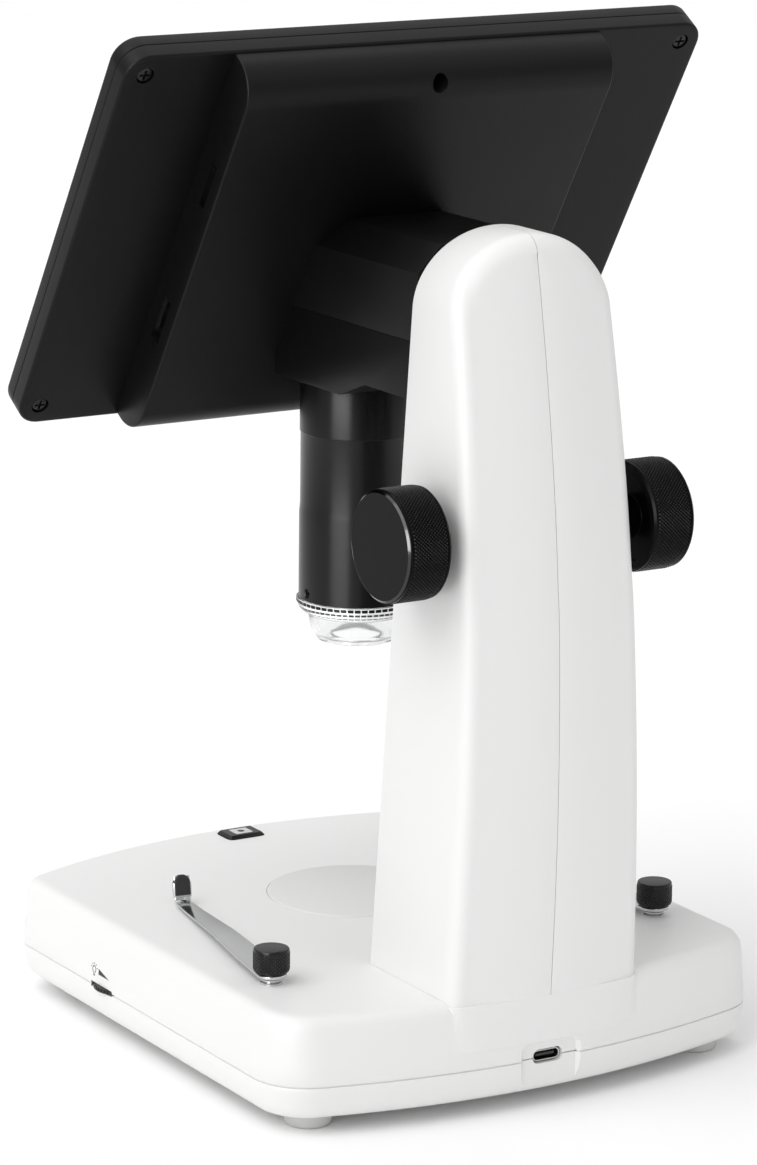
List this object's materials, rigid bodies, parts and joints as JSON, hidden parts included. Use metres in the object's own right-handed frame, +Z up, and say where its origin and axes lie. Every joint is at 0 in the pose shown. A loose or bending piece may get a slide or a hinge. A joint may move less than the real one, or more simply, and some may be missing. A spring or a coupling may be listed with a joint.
{
  "type": "lcd digital microscope",
  "caption": "Desktop digital microscope: tilted display on a camera head, geared focus stand, lit stage with spring clips, hollow two-shell base on four feet.",
  "frame": {"origin": "on the table under the middle of the base, in the plane of the rubber feet's undersides", "axes": "+Z up; -Y towards the user and the display side; +Y towards the stand and the power inlet; +X to the user's right, the side of the brightness wheel"},
  "size_m": [0.19, 0.1897, 0.2985],
  "materials": {
    "white_shell": "satin",
    "base_bottom": "satin",
    "black_shell": "matte",
    "display_glass": "gloss",
    "display_panel": "satin",
    "black_metal": "satin",
    "knob_black": "satin",
    "spring_steel": "polished",
    "bright_steel": "polished",
    "screw_steel": "satin",
    "rail_aluminium": "anodised",
    "bush_nylon": "satin",
    "rack_nylon": "matte",
    "rubber": "matte",
    "foot_rubber": "matte",
    "diffuser": "frosted",
    "clear_ring": "gloss",
    "lens_glass": "gloss",
    "circuit_board": "satin",
    "lamp_board": "satin",
    "key_grey": "matte"
  },
  "bodies": {
    "base": {"base_top_shell": "white_shell", "base_bottom_shell": "base_bottom", "base_feet": "foot_rubber", "base_screws": "screw_steel", "stage_disc": "diffuser", "stage_led_board": "lamp_board", "main_board": "circuit_board", "main_board_screws": "screw_steel", "usb_c_socket": "bright_steel", "dimmer_pot": "rack_nylon", "capture_switch": "circuit_board", "clip_posts": "bright_steel", "stand_shell_left": "white_shell", "stand_shell_right": "white_shell", "stand_front_cover": "white_shell", "stand_screws": "screw_steel", "guide_rail_left": "rail_aluminium", "guide_rail_right": "rail_aluminium", "shaft_bush_left": "bush_nylon", "shaft_bush_right": "bush_nylon"},
    "dimmer_wheel": {"dimmer_wheel": "key_grey"},
    "capture_button": {"capture_button": "key_grey"},
    "clip_left": {"clip_left": "spring_steel", "clip_sleeve_left": "rubber"},
    "clip_right": {"clip_right": "spring_steel", "clip_sleeve_right": "rubber"},
    "clip_knob_left": {"clip_knob_left": "knob_black"},
    "clip_knob_right": {"clip_knob_right": "knob_black"},
    "focus_knobs": {"focus_shaft": "bright_steel", "pinion": "screw_steel", "focus_knob_left": "knob_black", "focus_knob_right": "knob_black"},
    "camera_head": {"carriage": "rail_aluminium", "rack": "rack_nylon", "carriage_screws": "screw_steel", "head_lower_shell": "black_shell", "head_upper_shell": "black_shell", "lens_tube": "black_metal", "tube_set_screw": "screw_steel", "lens_barrel": "black_metal", "lens_glass": "lens_glass", "sensor_board": "circuit_board", "led_ring_board": "lamp_board", "light_ring": "clear_ring", "screen_rear_shell": "black_shell", "screen_bezel": "black_shell", "display_panel": "display_panel", "cover_glass": "display_glass", "screen_board": "circuit_board", "card_socket": "bright_steel", "video_socket": "bright_steel", "screen_screws": "screw_steel", "screen_mount_screws": "screw_steel", "key_board": "circuit_board"},
    "key_power": {"key_power": "key_grey"},
    "key_menu": {"key_menu": "key_grey"},
    "key_up": {"key_up": "key_grey"},
    "key_down": {"key_down": "key_grey"},
    "key_ok": {"key_ok": "key_grey"}
  },
  "joints": [
    {"name": "focus_slide", "type": "slide", "parent": "base", "child": "camera_head", "axis": [0, 0, 1], "range_m": [-0.06, 0.004]},
    {"name": "focus_knob_turn", "type": "hinge", "parent": "base", "child": "focus_knobs", "pos_m": [0, 0.0756, 0.1636], "axis": [1, 0, 0], "range_deg": [-33, 492]},
    {"name": "clip_left_swing", "type": "hinge", "parent": "base", "child": "clip_left", "pos_m": [-0.0652, 0.0497, 0.037], "axis": [0, 0, 1], "range_deg": [-24, 12]},
    {"name": "clip_right_swing", "type": "hinge", "parent": "base", "child": "clip_right", "pos_m": [0.0652, 0.0497, 0.037], "axis": [0, 0, 1], "range_deg": [-12, 24]},
    {"name": "clip_knob_left_turn", "type": "hinge", "parent": "base", "child": "clip_knob_left", "pos_m": [-0.0652, 0.0497, 0.04], "axis": [0, 0, 1], "range_deg": [-20, 160]},
    {"name": "clip_knob_right_turn", "type": "hinge", "parent": "base", "child": "clip_knob_right", "pos_m": [0.0652, 0.0497, 0.04], "axis": [0, 0, 1], "range_deg": [-20, 160]},
    {"name": "brightness_turn", "type": "hinge", "parent": "base", "child": "dimmer_wheel", "pos_m": [0.0733, -0.0216, 0.0148], "axis": [0, 0, 1], "range_deg": [-135, 135]},
    {"name": "capture_press", "type": "slide", "parent": "base", "child": "capture_button", "axis": [0, 0, -1], "range_m": [0, 0.0005], "stiffness_N_per_m": 800, "springref_m": -0.0005},
    {"name": "key_power_press", "type": "slide", "parent": "camera_head", "child": "key_power", "axis": [0, 0.8499, -0.527], "range_m": [0, 0.0005], "stiffness_N_per_m": 800, "springref_m": -0.0005},
    {"name": "key_menu_press", "type": "slide", "parent": "camera_head", "child": "key_menu", "axis": [0, 0.8499, -0.527], "range_m": [0, 0.0005], "stiffness_N_per_m": 800, "springref_m": -0.0005},
    {"name": "key_up_press", "type": "slide", "parent": "camera_head", "child": "key_up", "axis": [0, 0.8499, -0.527], "range_m": [0, 0.0005], "stiffness_N_per_m": 800, "springref_m": -0.0005},
    {"name": "key_down_press", "type": "slide", "parent": "camera_head", "child": "key_down", "axis": [0, 0.8499, -0.527], "range_m": [0, 0.0005], "stiffness_N_per_m": 800, "springref_m": -0.0005},
    {"name": "key_ok_press", "type": "slide", "parent": "camera_head", "child": "key_ok", "axis": [0, 0.8499, -0.527], "range_m": [0, 0.0005], "stiffness_N_per_m": 800, "springref_m": -0.0005}
  ],
  "couplings": [
    {"joint": "focus_knob_turn", "follows": "focus_slide", "rad_per_m": -142.86}
  ]
}
